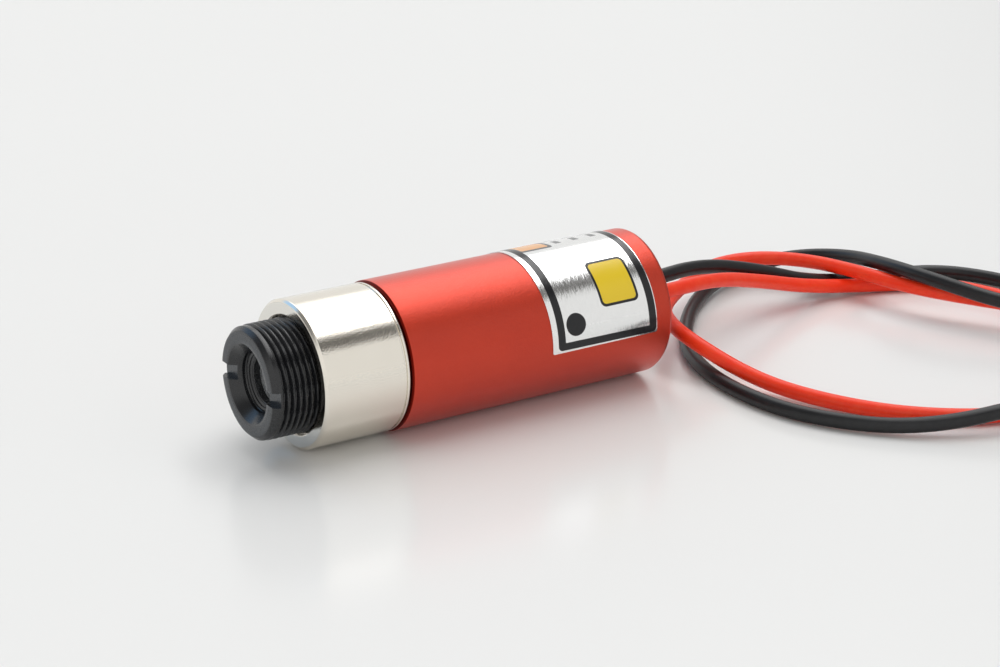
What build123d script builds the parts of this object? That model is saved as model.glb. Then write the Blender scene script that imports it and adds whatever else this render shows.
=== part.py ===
from build123d import *
import math
import os

# Laser diode module: a threaded lens holder screws into a plated head, the head's
# spigot is pressed into a tube barrel, and a small driver board lies inside the barrel.
# Millimetres. The axis is parallel to X, the beam leaves towards -X, the barrel lies on Z = 0.

# Barrel
barrel_d = 12.0
barrel_wall = 1.0
barrel_length = 24.4
barrel_front_bevel = 0.25
barrel_rear_round = 0.3
barrel_mouth_bevel = 0.3

# Head
head_step = 0.1
head_wall = 1.35
head_shown = 7.5
head_front_bevel = 0.35
head_rear_bevel = 0.25
head_mouth_bevel = 0.2
groove_setback = 0.45
groove_width = 0.16
groove_depth = 0.1
spigot_length = 4.6
spigot_play = 0.02
spigot_wall = 0.75

# Lens holder, screwed into the head
thread_play = 0.05
holder_length = 8.0
holder_shown = 3.6
holder_bevel = 0.37
land_length = 0.7
land_drop = 0.06
mouth_rim = 1.35
mouth_depth = 0.82
mouth_taper = 0.77
throat_length = 0.25
baffle_length = 0.48
baffle_taper = 0.52
lens_depth = 2.1
slot_width = 1.18
slot_depth = 0.55
baffle_rings = 3
baffle_ring_width = 0.08
baffle_ring_depth = 0.07

# Collimating lens and the ring that holds it
holder_wall = 1.27
lens_play = 0.03
lens_rim = 1.2
lens_dome_gap = 0.1
lens_front_sag = 0.3
lens_rear_sag = 0.95
lens_ring_wall = 0.6
lens_ring_length = 1.3
lens_ring_slot = 0.8
lens_ring_slot_depth = 0.5

# Focus spring, between the holder and the wall that the diode sits in
spring_side_gap = 0.55
spring_wire_d = 0.36
spring_closed_turns = 1.0
spring_active_turns = 2.5
spring_closed_gap = 0.02
spring_bends_per_turn = 6

# Laser diode: stem, cap, window, chips and leads
seat_setback = 0.45
seat_wall = 1.0
cap_hole_play = 0.05
stem_d = 5.6
stem_thickness = 1.2
stem_play = 0.03
stem_notch = 0.4
cap_d = 3.6
cap_flange_d = 4.1
cap_flange = 0.15
cap_height = 2.3
cap_wall = 0.15
window_hole_d = 1.6
window_d = 2.8
window_thickness = 0.25
post_width = 1.1
post_depth = 0.9
post_height = 1.25
emitter_size = 0.3
emitter_thickness = 0.12
monitor_size = 0.6
monitor_thickness = 0.15
lead_d = 0.45
lead_circle_d = 2.54
lead_stub = 0.45
lead_hole_d = 0.9
lead_on_board = 1.8
lead_solder_gap = 0.03

# Ring that clamps the stem in its pocket
clamp_bore_d = 4.4
clamp_length = 1.5
clamp_play = 0.03
clamp_slot = 0.8
clamp_slot_depth = 0.5

# Driver board and the parts on it
board_gap = 2.8
board_plug_gap = 2.0
board_side_gap = 0.12
board_corner = 0.4
part_gap = 0.3
first_row = 2.3
chip_size = (4.9, 3.9, 1.3)
chip_lift = 0.1
leg_count = 8
leg_pitch = 1.27
leg_width = 0.42
leg_thickness = 0.2
leg_reach = 0.95
transistor_size = (2.9, 1.4, 1.0)
transistor_side = 2.3
transistor_leg_reach = 0.45
tantalum_size = (1.6, 3.2, 1.5)
capacitor_size = (1.25, 2.0, 0.95)
capacitor_side = 2.2
resistor_size = (2.0, 1.25, 0.5)
resistor_side = 2.6
end_cap_length = 0.4
end_cap_step = 0.03
lead_solder_r = 0.6
wire_solder_r = 1.16

# Insulating sleeve round the board
sleeve_wall = 0.17
sleeve_play = 0.05
sleeve_lead_in = 0.4

# Plug that closes the rear of the barrel
plug_length = 2.85
plug_recess = 0.3
plug_play = 0.03
plug_bevel = 0.25
plug_gap = 0.2

# Hook-up wires
wire_d = 1.25
wire_hole_play = 0.04
wire_inside = 1.0
strand_d = 0.48
strand_outside = 4.5
wire_side = 1.5
wire_lift = 0.65

# Foil label on the barrel
label_length = 10.05
label_setback = 12.75
label_thickness = 0.06
label_gap = 0.01
label_low_edge = 186.0
label_span = 192.0

# Diameters and radii that follow from the sizes above
barrel_bore_r = barrel_d / 2 - barrel_wall
head_d = barrel_d - 2 * head_step
head_bore_r = head_d / 2 - head_wall
thread_d = 2 * (head_bore_r - thread_play)
mouth_d = thread_d - 2 * mouth_rim
throat_d = mouth_d - 2 * mouth_taper
aperture_d = throat_d - 2 * baffle_taper
lens_pocket_r = thread_d / 2 - holder_wall
lens_d = 2 * (lens_pocket_r - lens_play)
lens_ring_bore_d = lens_d - 2 * lens_ring_wall
lens_front_dome_d = aperture_d - 2 * lens_dome_gap
lens_rear_dome_d = lens_ring_bore_d - 2 * lens_dome_gap
spring_d = 2 * (head_bore_r - spring_side_gap)
spigot_r = barrel_bore_r - spigot_play
clamp_d = 2 * (spigot_r - spigot_wall - clamp_play)
sleeve_d = 2 * (barrel_bore_r - sleeve_play)

# Places along the axis
axis_z = barrel_d / 2
overall = barrel_length + head_shown + holder_shown
rear_x = overall / 2
barrel_x = rear_x - barrel_length
head_x = barrel_x - head_shown
holder_x = head_x - holder_shown
seat_x = barrel_x + seat_setback
stem_x = seat_x + seat_wall
stem_rear_x = stem_x + stem_thickness
holder_rear_x = holder_x + holder_length
lens_x = holder_x + lens_depth
plug_rear_x = rear_x - plug_recess
plug_x = plug_rear_x - plug_length
wire_x = plug_x - wire_inside
wire_z = axis_z + wire_lift

# Board, which the diode leads straddle
board_x = stem_rear_x + board_gap
board_rear_x = plug_x - board_plug_gap
board_length = board_rear_x - board_x
board_top = axis_z - lead_d / 2 - lead_solder_gap
board_thickness = lead_circle_d / 2 - lead_d - 2 * lead_solder_gap
board_underside = board_top - board_thickness
board_room = math.sqrt((sleeve_d / 2 - sleeve_wall) ** 2 - (axis_z - board_underside) ** 2)
board_width = 2 * (board_room - board_side_gap)
wire_solder_x = board_rear_x - wire_solder_r - end_cap_step

axis = Axis((0, 0, axis_z), (1, 0, 0))
standing = (Align.CENTER, Align.CENTER, Align.MIN)
hanging = (Align.CENTER, Align.CENTER, Align.MAX)


def turned(*outline):
    """Solid of revolution about the module's axis, from an outline of (x, radius) points."""
    points = [(x, 0, axis_z + radius) for x, radius in outline]
    return revolve(make_face(Polyline(*points, close=True)), axis, 360)


def on_plane(x, radius):
    """Point of the outline plane at a distance from the module's axis."""
    return Vector(x, 0, axis_z + radius)


def sag_arc(base_x, radius, sag):
    """Arc from the tip of a dome, on the axis, to its edge at base_x."""
    curve_r = (radius ** 2 + sag ** 2) / (2 * abs(sag))
    way = 1 if sag > 0 else -1
    half_angle = math.asin(radius / curve_r) / 2
    middle_x = base_x + sag - way * curve_r * (1 - math.cos(half_angle))
    middle = on_plane(middle_x, curve_r * math.sin(half_angle))
    return ThreePointArc(on_plane(base_x + sag, 0), middle, on_plane(base_x, radius))


def rod(x_start, x_end, radius, y=0.0, z=axis_z):
    """Round bar parallel to the module's axis."""
    plane = Plane(origin=(x_start, y, z), x_dir=(0, 1, 0), z_dir=(1, 0, 0))
    return extrude(plane * Circle(radius), x_end - x_start)


def block(x_start, size, y=0.0, z=0.0):
    """Box that begins at x_start, is centred on y and stands on z."""
    return Pos(x_start + size[0] / 2, y, z + size[2] / 2) * Box(*size)


def spanner_slots(face_x, depth, width, reach, into):
    """Bar across a round face, which leaves two opposite slots of the given depth."""
    middle = face_x + into * depth / 2
    return Pos(middle, 0, axis_z) * Box(depth, 2 * reach, width)


def turn_about_axis(shape, degrees):
    return shape.rotate(axis, degrees)


def lens_holder():
    """Black threaded cell: conical mouth, stepped dark throat, shoulder and lens pocket."""
    major = thread_d / 2
    land = major - land_drop
    throat_x = holder_x + mouth_depth
    cone_x = throat_x + throat_length
    aperture_x = cone_x + baffle_length
    body = turned(
        (holder_x, mouth_d / 2),
        (holder_x, land - holder_bevel + land_drop),
        (holder_x + holder_bevel, land),
        (holder_x + land_length, land),
        (holder_x + land_length + land_drop, major),
        (holder_rear_x - holder_bevel, major),
        (holder_rear_x, major - holder_bevel),
        (holder_rear_x, lens_pocket_r),
        (lens_x, lens_pocket_r),
        (lens_x, aperture_d / 2),
        (aperture_x, aperture_d / 2),
        (cone_x, throat_d / 2),
        (throat_x, throat_d / 2),
    )
    taper = (aperture_d - throat_d) / 2 / baffle_length
    for ring in range(baffle_rings):
        along = baffle_length * (ring + 0.5) / baffle_rings
        wall = throat_d / 2 + taper * along
        inside = wall - baffle_ring_width / 2
        body -= turned(
            (cone_x + along - baffle_ring_width / 2, inside),
            (cone_x + along + baffle_ring_width / 2, inside),
            (cone_x + along + baffle_ring_width / 2, wall),
            (cone_x + along, wall + baffle_ring_depth),
            (cone_x + along - baffle_ring_width / 2, wall),
        )
    return body - spanner_slots(holder_x, slot_depth, slot_width, thread_d, 1)


def collimating_lens():
    """Moulded lens: flat rim, shallow dome to the front and a steeper one to the diode."""
    rear_face_x = lens_x + lens_rim
    front = sag_arc(lens_x, lens_front_dome_d / 2, -lens_front_sag)
    rear = sag_arc(rear_face_x, lens_rear_dome_d / 2, lens_rear_sag)
    rim = Polyline(front @ 1, on_plane(lens_x, lens_d / 2), on_plane(rear_face_x, lens_d / 2), rear @ 1)
    optical_axis = Line(rear @ 0, front @ 0)
    return revolve(make_face(Curve() + [front, rim, rear, optical_axis]), axis, 360)


def lens_ring():
    """Threaded ring behind the lens, with two spanner slots in its rear face."""
    ring_x = lens_x + lens_rim
    outer = lens_pocket_r - lens_play
    ring = rod(ring_x, ring_x + lens_ring_length, outer)
    ring -= rod(ring_x, ring_x + lens_ring_length, lens_ring_bore_d / 2)
    slots = spanner_slots(ring_x + lens_ring_length, lens_ring_slot_depth, lens_ring_slot, lens_d, -1)
    return ring - slots


def focus_spring():
    """Compression spring: an almost solid turn at each end and open turns between them."""
    length = seat_x - holder_rear_x - spring_wire_d
    closed_pitch = spring_wire_d + spring_closed_gap
    open_pitch = (length - 2 * closed_pitch * spring_closed_turns) / spring_active_turns
    total_turns = 2 * spring_closed_turns + spring_active_turns
    radius = (spring_d - spring_wire_d) / 2
    start_x = holder_rear_x + spring_wire_d / 2

    bends = round(total_turns * spring_bends_per_turn)
    step = total_turns / bends

    def on_coil(turn, distance):
        opened = min(max(turn - spring_closed_turns, 0), spring_active_turns)
        rise = closed_pitch * (turn - opened) + open_pitch * opened
        angle = 2 * math.pi * turn
        return (start_x + rise, distance * math.cos(angle), axis_z + distance * math.sin(angle))

    corner_r = radius / math.cos(math.pi * step)
    corners = [on_coil((index + 0.5) * step, corner_r) for index in range(bends)]
    route = [on_coil(0, radius), *corners, on_coil(total_turns, radius)]
    coil = FilletPolyline(*route, radius=0.9 * radius)
    return sweep(Plane(origin=coil @ 0, z_dir=coil % 0) * Circle(spring_wire_d / 2), path=coil)


def head():
    """Plated head: threaded bore, wall with the diode pocket, spigot for the barrel."""
    outer = head_d / 2
    spigot_x = barrel_x + spigot_length
    groove_x = barrel_x - groove_setback
    clamp_r = clamp_d / 2 + clamp_play
    stem_r = stem_d / 2 + stem_play
    cap_hole_r = cap_flange_d / 2 + cap_hole_play
    return turned(
        (head_x, head_bore_r + head_mouth_bevel),
        (head_x, outer - head_front_bevel),
        (head_x + head_front_bevel, outer),
        (groove_x - groove_width, outer),
        (groove_x - groove_width, outer - groove_depth),
        (groove_x, outer - groove_depth),
        (groove_x, outer),
        (barrel_x - head_rear_bevel, outer),
        (barrel_x, outer - head_rear_bevel),
        (barrel_x, spigot_r),
        (spigot_x, spigot_r),
        (spigot_x, clamp_r),
        (stem_rear_x, clamp_r),
        (stem_rear_x, stem_r),
        (stem_x, stem_r),
        (stem_x, cap_hole_r),
        (seat_x, cap_hole_r),
        (seat_x, head_bore_r),
        (head_x + head_mouth_bevel, head_bore_r),
    )


def lead_places():
    """Centres (y, z) of the two leads above the board and the one below it."""
    reach = lead_circle_d / 2
    return [(reach, axis_z), (-reach, axis_z), (0.0, axis_z - reach)]


def diode_stem():
    """Gold-plated stem with its heat-sink post, two glass-sealed holes and edge notches."""
    stem = rod(stem_x, stem_rear_x, stem_d / 2)
    for y, z in lead_places()[:2]:
        stem -= rod(stem_x, stem_rear_x, lead_hole_d / 2, y, z)
    notch = Pos(stem_x + stem_thickness / 2, stem_d / 2, axis_z) * Box(stem_thickness, stem_notch, stem_notch)
    stem -= notch
    stem -= turn_about_axis(notch, 180)
    post_size = (post_height, post_width, post_depth)
    return stem + block(stem_x - post_height, post_size, 0.0, axis_z + emitter_thickness)


def laser_chip():
    """Laser chip soldered under the post, with its facet at the tip of the post."""
    size = (emitter_size, emitter_size, emitter_thickness)
    return block(stem_x - post_height, size, 0.0, axis_z)


def monitor_chip():
    """Photodiode on the stem's face, which sees the light from the chip's rear facet."""
    size = (monitor_thickness, monitor_size, monitor_size)
    return block(stem_x - monitor_thickness, size, 0.0, axis_z - monitor_size)


def lead_seals():
    """Glass beads that carry the two insulated leads in the stem."""
    beads = []
    for y, z in lead_places()[:2]:
        bead = rod(stem_x, stem_rear_x, lead_hole_d / 2, y, z)
        beads.append(bead - rod(stem_x, stem_rear_x, lead_d / 2, y, z))
    return beads


def diode_leads():
    """Three leads: two through their beads and one welded to the rear of the stem."""
    end_x = board_x + lead_on_board
    starts = [stem_x - lead_stub, stem_x - lead_stub, stem_rear_x]
    return [rod(start, end_x, lead_d / 2, y, z) for start, (y, z) in zip(starts, lead_places())]


def diode_cap():
    """Drawn cap with a weld flange and a window hole."""
    cap_x = stem_x - cap_height
    outer = cap_d / 2
    inner = outer - cap_wall
    return turned(
        (cap_x, window_hole_d / 2),
        (cap_x, outer - cap_wall),
        (cap_x + cap_wall, outer),
        (stem_x - cap_flange, outer),
        (stem_x - cap_flange, cap_flange_d / 2),
        (stem_x, cap_flange_d / 2),
        (stem_x, inner),
        (cap_x + cap_wall, inner),
        (cap_x + cap_wall, window_hole_d / 2),
    )


def diode_window():
    """Glass window fixed to the inside of the cap's front."""
    window_x = stem_x - cap_height + cap_wall
    return rod(window_x, window_x + window_thickness, window_d / 2)


def diode_clamp_ring():
    """Threaded ring that presses the stem into its pocket, with two spanner slots."""
    end_x = stem_rear_x + clamp_length
    ring = rod(stem_rear_x, end_x, clamp_d / 2) - rod(stem_rear_x, end_x, clamp_bore_d / 2)
    return ring - spanner_slots(end_x, clamp_slot_depth, clamp_slot, clamp_d, -1)


def barrel():
    """Anodised tube with a bevel at the head, a rounded rear edge and a bevelled mouth."""
    outer = barrel_d / 2
    tube = turned(
        (barrel_x, barrel_bore_r),
        (barrel_x, outer - barrel_front_bevel),
        (barrel_x + barrel_front_bevel, outer),
        (rear_x, outer),
        (rear_x, barrel_bore_r + barrel_mouth_bevel),
        (rear_x - barrel_mouth_bevel, barrel_bore_r),
    )
    rear_rims = tube.edges().filter_by(GeomType.CIRCLE).group_by(Axis.X)[-1]
    return fillet(rear_rims.sort_by(SortBy.RADIUS)[-1], barrel_rear_round)


def foil_label():
    """Foil label wrapped over the barrel, from its lower near edge over the top."""
    inner = barrel_d / 2 + label_gap
    face = make_face(Polyline(
        (barrel_x + label_setback, 0, axis_z + inner),
        (barrel_x + label_setback, 0, axis_z + inner + label_thickness),
        (barrel_x + label_setback + label_length, 0, axis_z + inner + label_thickness),
        (barrel_x + label_setback + label_length, 0, axis_z + inner),
        close=True,
    ))
    wrapped = revolve(face, axis, label_span)
    far_edge = label_low_edge - label_span
    return turn_about_axis(wrapped, far_edge - 90)


def driver_board():
    """Glass-epoxy board that the leads straddle at one end and the wires meet at the other."""
    outline = Rectangle(board_length, board_width)
    outline = fillet(outline.vertices(), board_corner)
    board = extrude(Plane.XY.offset(board_underside) * outline, board_thickness)
    return Pos((board_x + board_rear_x) / 2, 0, 0) * board


def on_face(x_start, y, size, way):
    """Box of the given size on the board's top, or on its underside, a little way off it."""
    low = board_top + chip_lift if way > 0 else board_underside - chip_lift - size[2]
    return block(x_start, size, y, low)


def gull_leg(side_y, outward, reach, shoulder, way):
    """One bent leg, drawn in the YZ plane: out of the body, towards the board and flat on it."""
    face = board_top if way > 0 else board_underside
    knee = side_y + outward * reach / 2
    toe = side_y + outward * reach
    heights = [shoulder, shoulder, leg_thickness, leg_thickness, 0, 0]
    sides = [side_y, knee, knee, toe, toe, knee - outward * leg_thickness]
    heights += [shoulder - leg_thickness, shoulder - leg_thickness]
    sides += [knee - outward * leg_thickness, side_y]
    points = [(0, y, face + way * height) for y, height in zip(sides, heights)]
    profile = make_face(Polyline(*points, close=True))
    return extrude(profile, leg_width / 2, dir=(1, 0, 0), both=True)


def driver_chip():
    """Moulded body of the driver circuit, on the underside of the board."""
    return on_face(board_x + first_row, 0.0, chip_size, -1)


def transistor():
    """Moulded body of the pass transistor, beside the diode leads."""
    return on_face(board_x + first_row, transistor_side, transistor_size, 1)


def component_legs():
    """Tinned legs of the driver circuit and of the transistor."""
    legs = []
    chip_middle = board_x + first_row + chip_size[0] / 2
    chip_shoulder = chip_lift + chip_size[2] / 2
    per_side = leg_count // 2
    for index in range(per_side):
        x = chip_middle + (index - (per_side - 1) / 2) * leg_pitch
        for outward in (1, -1):
            leg = gull_leg(outward * chip_size[1] / 2, outward, leg_reach, chip_shoulder, -1)
            legs.append(Pos(x, 0, 0) * leg)
    half = transistor_size[1] / 2
    shoulder = chip_lift + transistor_size[2] / 2
    for share, outward in ((0.2, -1), (0.8, -1), (0.5, 1)):
        x = board_x + first_row + share * transistor_size[0]
        leg = gull_leg(transistor_side + outward * half, outward, transistor_leg_reach, shoulder, 1)
        legs.append(Pos(x, 0, 0) * leg)
    return legs


def chip_part(x_start, y, size, way=1):
    """Ceramic chip part on either face of the board: a body between two tinned end caps."""
    tall = size[2] + 2 * end_cap_step
    low = board_top if way > 0 else board_underside - tall
    part = block(x_start, size, y, low + end_cap_step)
    if size[0] > size[1]:
        cap_size = (end_cap_length, size[1] + 2 * end_cap_step, tall)
        part += block(x_start - end_cap_step, cap_size, y, low)
        part += block(x_start + size[0] + end_cap_step - end_cap_length, cap_size, y, low)
        return part
    cap_size = (size[0] + 2 * end_cap_step, end_cap_length, tall)
    cap_side = (size[1] - end_cap_length) / 2 + end_cap_step
    for side in (1, -1):
        part += block(x_start - end_cap_step, cap_size, y + side * cap_side, low)
    return part


def capacitors():
    """Three ceramic capacitors: one between the diode leads, two before the wires' solder."""
    rear_row = wire_solder_x - wire_solder_r - part_gap - capacitor_size[0]
    return [
        chip_part(board_x + first_row, 0.0, (capacitor_size[1], capacitor_size[0], capacitor_size[2])),
        chip_part(rear_row, capacitor_side, capacitor_size),
        chip_part(rear_row, -capacitor_side, capacitor_size),
    ]


def resistors():
    """Three chip resistors: one beside the diode leads and two behind the driver circuit."""
    behind_chip = board_x + first_row + chip_size[0] + part_gap
    return [
        chip_part(board_x + first_row, -resistor_side, resistor_size),
        chip_part(behind_chip, resistor_side, resistor_size, -1),
        chip_part(behind_chip, -resistor_side, resistor_size, -1),
    ]


def tantalum_capacitor():
    """Moulded tantalum capacitor at the rear of the board's underside."""
    start = board_rear_x - part_gap - tantalum_size[0]
    return block(start, tantalum_size, 0.0, board_underside - tantalum_size[2])


def inner_strands():
    """Bared and tinned ends of the two wires, on their pads."""
    start = wire_solder_x - wire_solder_r + part_gap
    return [rod(start, wire_x, strand_d / 2, side * wire_side, wire_z) for side in (1, -1)]


def solder_dome(x, y, radius, way):
    """Half ball of solder that stands on the board's top, or hangs from its underside."""
    if way > 0:
        return Pos(x, y, board_top) * Sphere(radius, arc_size1=0, align=standing)
    return Pos(x, y, board_underside) * Sphere(radius, arc_size2=0, align=hanging)


def solder_joints():
    """Solder on the three diode leads and on the two wires."""
    lead_x = board_x + lead_on_board / 2
    joints = []
    for (y, z), way in zip(lead_places(), (1, 1, -1)):
        lead = rod(stem_rear_x, board_rear_x, lead_d / 2, y, z)
        joints.append(solder_dome(lead_x, y, lead_solder_r, way) - lead)
    for side in (1, -1):
        strand = rod(wire_solder_x - wire_solder_r + part_gap, wire_x, strand_d / 2, side * wire_side, wire_z)
        joints.append(solder_dome(wire_solder_x, side * wire_side, wire_solder_r, 1) - strand)
    return joints


def board_sleeve():
    """Thin insulating tube between the board and the barrel."""
    outer = sleeve_d / 2
    start = board_x - sleeve_lead_in
    end = plug_x - plug_gap
    return rod(start, end, outer) - rod(start, end, outer - sleeve_wall)


def rear_plug():
    """Plug pressed into the rear of the barrel, with a hole for each wire."""
    outer = barrel_bore_r - plug_play
    plug = turned(
        (plug_x, 0),
        (plug_x, outer - plug_bevel),
        (plug_x + plug_bevel, outer),
        (plug_rear_x - plug_bevel, outer),
        (plug_rear_x, outer - plug_bevel),
        (plug_rear_x, 0),
    )
    for side in (1, -1):
        plug -= rod(plug_x, plug_rear_x, wire_d / 2 + wire_hole_play, side * wire_side, wire_z)
    return plug


# Routes of the two wires: out of the plug, down to the table, once round a loose loop,
# under the first stretch, back over it and away to the bare ends.
black_route = [
    (wire_x, wire_side, wire_z), (20.6, 1.5, 6.65), (27.4, 3.3, 6.3), (34.2, 4.9, 4.3),
    (40.4, 6.0, 1.6), (46.8, 6.1, 0.68), (53.2, 5.0, 0.68), (57.4, -1.4, 0.68),
    (58.8, -9.6, 0.68), (55.6, -18.6, 0.68), (47.4, -26.2, 0.8), (37.2, -28.8, 2.1),
    (28.2, -25.2, 0.7), (22.4, -18.4, 0.68), (20.8, -10.6, 0.68), (22.3, -2.8, 0.68),
    (26.4, 4.4, 0.68), (32.0, 9.9, 0.68), (39.2, 13.4, 0.68), (44.5, 12.0, 1.2),
    (47.4, 7.4, 2.6), (46.5, 0.8, 4.3), (46.9, -5.2, 3.7), (49.4, -11.2, 2.8),
    (53.2, -17.4, 2.8), (58.2, -23.4, 2.4), (64.0, -27.8, 0.7), (68.6, -30.4, 0.68),
]
red_route = [
    (wire_x, -wire_side, wire_z), (20.6, -1.5, 6.65), (27.0, 0.5, 5.9), (33.8, 3.4, 3.5),
    (40.2, 4.4, 1.4), (46.6, 4.1, 0.68), (52.2, 1.2, 0.68), (55.2, -5.6, 0.68),
    (55.4, -13.2, 0.68), (51.0, -20.0, 0.68), (44.0, -24.8, 0.68), (36.4, -26.6, 0.68),
    (29.8, -22.3, 0.68), (26.1, -16.6, 0.68), (24.1, -10.6, 0.9), (21.9, -5.4, 2.3),
    (22.1, -1.0, 2.45), (24.8, 4.0, 2.35), (29.2, 8.2, 2.35), (34.2, 11.2, 2.4),
    (39.7, 11.5, 2.5), (43.9, 8.3, 2.6), (46.0, 3.2, 2.6), (47.2, -2.4, 2.5),
    (49.8, -8.0, 2.2), (53.4, -13.8, 2.4), (58.2, -19.2, 2.4), (64.4, -23.6, 0.7),
    (71.4, -27.0, 0.68), (78.0, -29.4, 0.68),
]


def corner_radii(route):
    """Largest arc that two neighbouring runs allow at each corner of a route."""
    radii = []
    for before, corner, after in zip(route, route[1:], route[2:]):
        arriving = Vector(corner) - Vector(before)
        leaving = Vector(after) - Vector(corner)
        turn = math.radians(arriving.get_angle(leaving))
        shorter = min(arriving.length, leaving.length)
        radii.append(0.45 * shorter / math.tan(turn / 2))
    return radii


def wire(name, route):
    """Insulated wire: straight runs joined by tangent arcs, with the radii printed."""
    radii = corner_radii(route)
    path = FilletPolyline(*route, radius=radii)
    start = Plane(origin=route[0], z_dir=path % 0)
    solid = sweep(start * Circle(wire_d / 2), path=path)
    section = math.pi * wire_d ** 2 / 4
    print(name, "radii", " ".join(f"{radius:.1f}" for radius in radii))
    print(name, "length", round(path.length, 1), "volume", round(solid.volume, 2),
          "section times length", round(section * path.length, 2))
    return solid


def wire_tip(route):
    """Bared and tinned end of a wire, in line with its last run."""
    along = (Vector(route[-1]) - Vector(route[-2])).normalized()
    return extrude(Plane(origin=route[-1], z_dir=along) * Circle(strand_d / 2), strand_outside)


parts = {
    "lens_holder": lens_holder(),
    "collimating_lens": collimating_lens(),
    "lens_ring": lens_ring(),
    "focus_spring": focus_spring(),
    "head": head(),
    "diode_clamp_ring": diode_clamp_ring(),
    "diode_stem": diode_stem(),
    "laser_chip": laser_chip(),
    "monitor_chip": monitor_chip(),
    "lead_seals": lead_seals(),
    "diode_leads": diode_leads(),
    "diode_cap": diode_cap(),
    "diode_window": diode_window(),
    "barrel": barrel(),
    "foil_label": foil_label(),
    "driver_board": driver_board(),
    "driver_chip": driver_chip(),
    "transistor": transistor(),
    "component_legs": component_legs(),
    "capacitors": capacitors(),
    "resistors": resistors(),
    "tantalum_capacitor": tantalum_capacitor(),
    "inner_strands": inner_strands(),
    "solder_joints": solder_joints(),
    "board_sleeve": board_sleeve(),
    "rear_plug": rear_plug(),
    "wire_black": wire("black", black_route),
    "wire_red": wire("red", red_route),
    "wire_tip_black": wire_tip(black_route),
    "wire_tip_red": wire_tip(red_route),
}

os.makedirs("parts", exist_ok=True)
for node, shape in parts.items():
    solids = shape if isinstance(shape, list) else [shape]
    flat = [solid for piece in solids for solid in piece.solids()]
    export_step(flat[0] if len(flat) == 1 else Compound(children=flat), f"parts/{node}.step")
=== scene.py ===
import math

import bmesh
import bpy
import numpy as np
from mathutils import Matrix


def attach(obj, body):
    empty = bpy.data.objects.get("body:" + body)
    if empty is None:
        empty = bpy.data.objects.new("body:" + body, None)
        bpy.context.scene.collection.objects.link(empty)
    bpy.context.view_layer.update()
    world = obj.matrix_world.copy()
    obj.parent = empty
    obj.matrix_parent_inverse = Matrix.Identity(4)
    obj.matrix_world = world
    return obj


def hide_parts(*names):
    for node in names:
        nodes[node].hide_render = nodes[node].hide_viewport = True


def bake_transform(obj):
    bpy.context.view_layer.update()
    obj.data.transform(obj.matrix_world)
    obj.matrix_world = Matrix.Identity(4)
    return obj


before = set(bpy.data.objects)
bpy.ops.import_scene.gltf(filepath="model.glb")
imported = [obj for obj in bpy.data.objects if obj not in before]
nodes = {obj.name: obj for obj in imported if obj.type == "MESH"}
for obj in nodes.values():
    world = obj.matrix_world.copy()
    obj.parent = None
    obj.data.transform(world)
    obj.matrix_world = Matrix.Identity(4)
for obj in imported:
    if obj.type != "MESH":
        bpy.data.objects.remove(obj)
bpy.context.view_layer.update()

# Camera: a short telephoto from the front left, a little above the module, as in the photograph.
camera_place = (-0.0997, -0.1629, 0.07739)
camera_azimuth = -32.729
camera_elevation = 20.358
camera_data = bpy.data.cameras.new("camera")
camera_data.lens = 92.74
camera_data.sensor_width = 36.0
camera_data.clip_start = 0.01
camera = bpy.data.objects.new("camera", camera_data)
camera.location = camera_place
camera.rotation_euler = (math.radians(90.0 - camera_elevation), 0.0, math.radians(camera_azimuth))
bpy.context.scene.collection.objects.link(camera)
bpy.context.scene.camera = camera
bpy.context.scene.view_settings.view_transform = "Standard"


# Hook-up wires: 1.25 mm PVC over tinned strands, soldered to the driver board in the barrel.
# They leave the rear plug side by side, drop to the table and lie in one loose crossing loop.
class Signal:
    """Output socket of a shader node. Arithmetic on it adds the Math nodes that work it out."""

    def __init__(self, tree, socket):
        self.tree = tree
        self.socket = socket

    def node(self, kind, settings=None, inputs=None, output=0):
        """New node: its settings are set first, then its sockets get values or links."""
        made = self.tree.nodes.new(kind)
        for name, value in (settings or {}).items():
            setattr(made, name, value)
        for name, value in (inputs or {}).items():
            plug(self.tree, made.inputs[name], value)
        return Signal(self.tree, made.outputs[output])

    def coordinate(self, axis):
        """One coordinate of this vector: 0, 1 or 2 for x, y or z."""
        return self.node("ShaderNodeSeparateXYZ", None, {0: self}, axis)

    def math(self, operation, *values):
        """Result of a Math operation on these values."""
        inputs = dict(enumerate(values))
        return self.node("ShaderNodeMath", {"operation": operation}, inputs)

    def __add__(self, other):
        return self.math("ADD", self, other)

    def __sub__(self, other):
        return self.math("SUBTRACT", self, other)

    def __rsub__(self, other):
        return self.math("SUBTRACT", other, self)

    def __mul__(self, other):
        return self.math("MULTIPLY", self, other)

    __radd__ = __add__
    __rmul__ = __mul__

    def __abs__(self):
        return self.math("ABSOLUTE", self)

    def least(self, other):
        return self.math("MINIMUM", self, other)

    def most(self, other):
        return self.math("MAXIMUM", self, other)

    def step(self, low, high):
        """0 below low and 1 above high, with a smooth slope between them."""
        limits = {"Value": self, "From Min": low, "From Max": high}
        return self.node("ShaderNodeMapRange", {"interpolation_type": "SMOOTHSTEP"}, limits)

    def mix(self, under, over):
        """Colour that goes from under to over as this signal goes from 0 to 1."""
        colours = {"Factor": self, 6: under, 7: over}
        return self.node("ShaderNodeMix", {"data_type": "RGBA"}, colours, 2)


def plug(tree, socket, value):
    """Links a signal to a socket, or sets the socket to a number, a vector or a full colour."""
    if isinstance(value, Signal):
        tree.links.new(value.socket, socket)
    elif isinstance(value, tuple) and socket.type == "RGBA":
        socket.default_value = (*value, 1.0)
    else:
        socket.default_value = value


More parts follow.
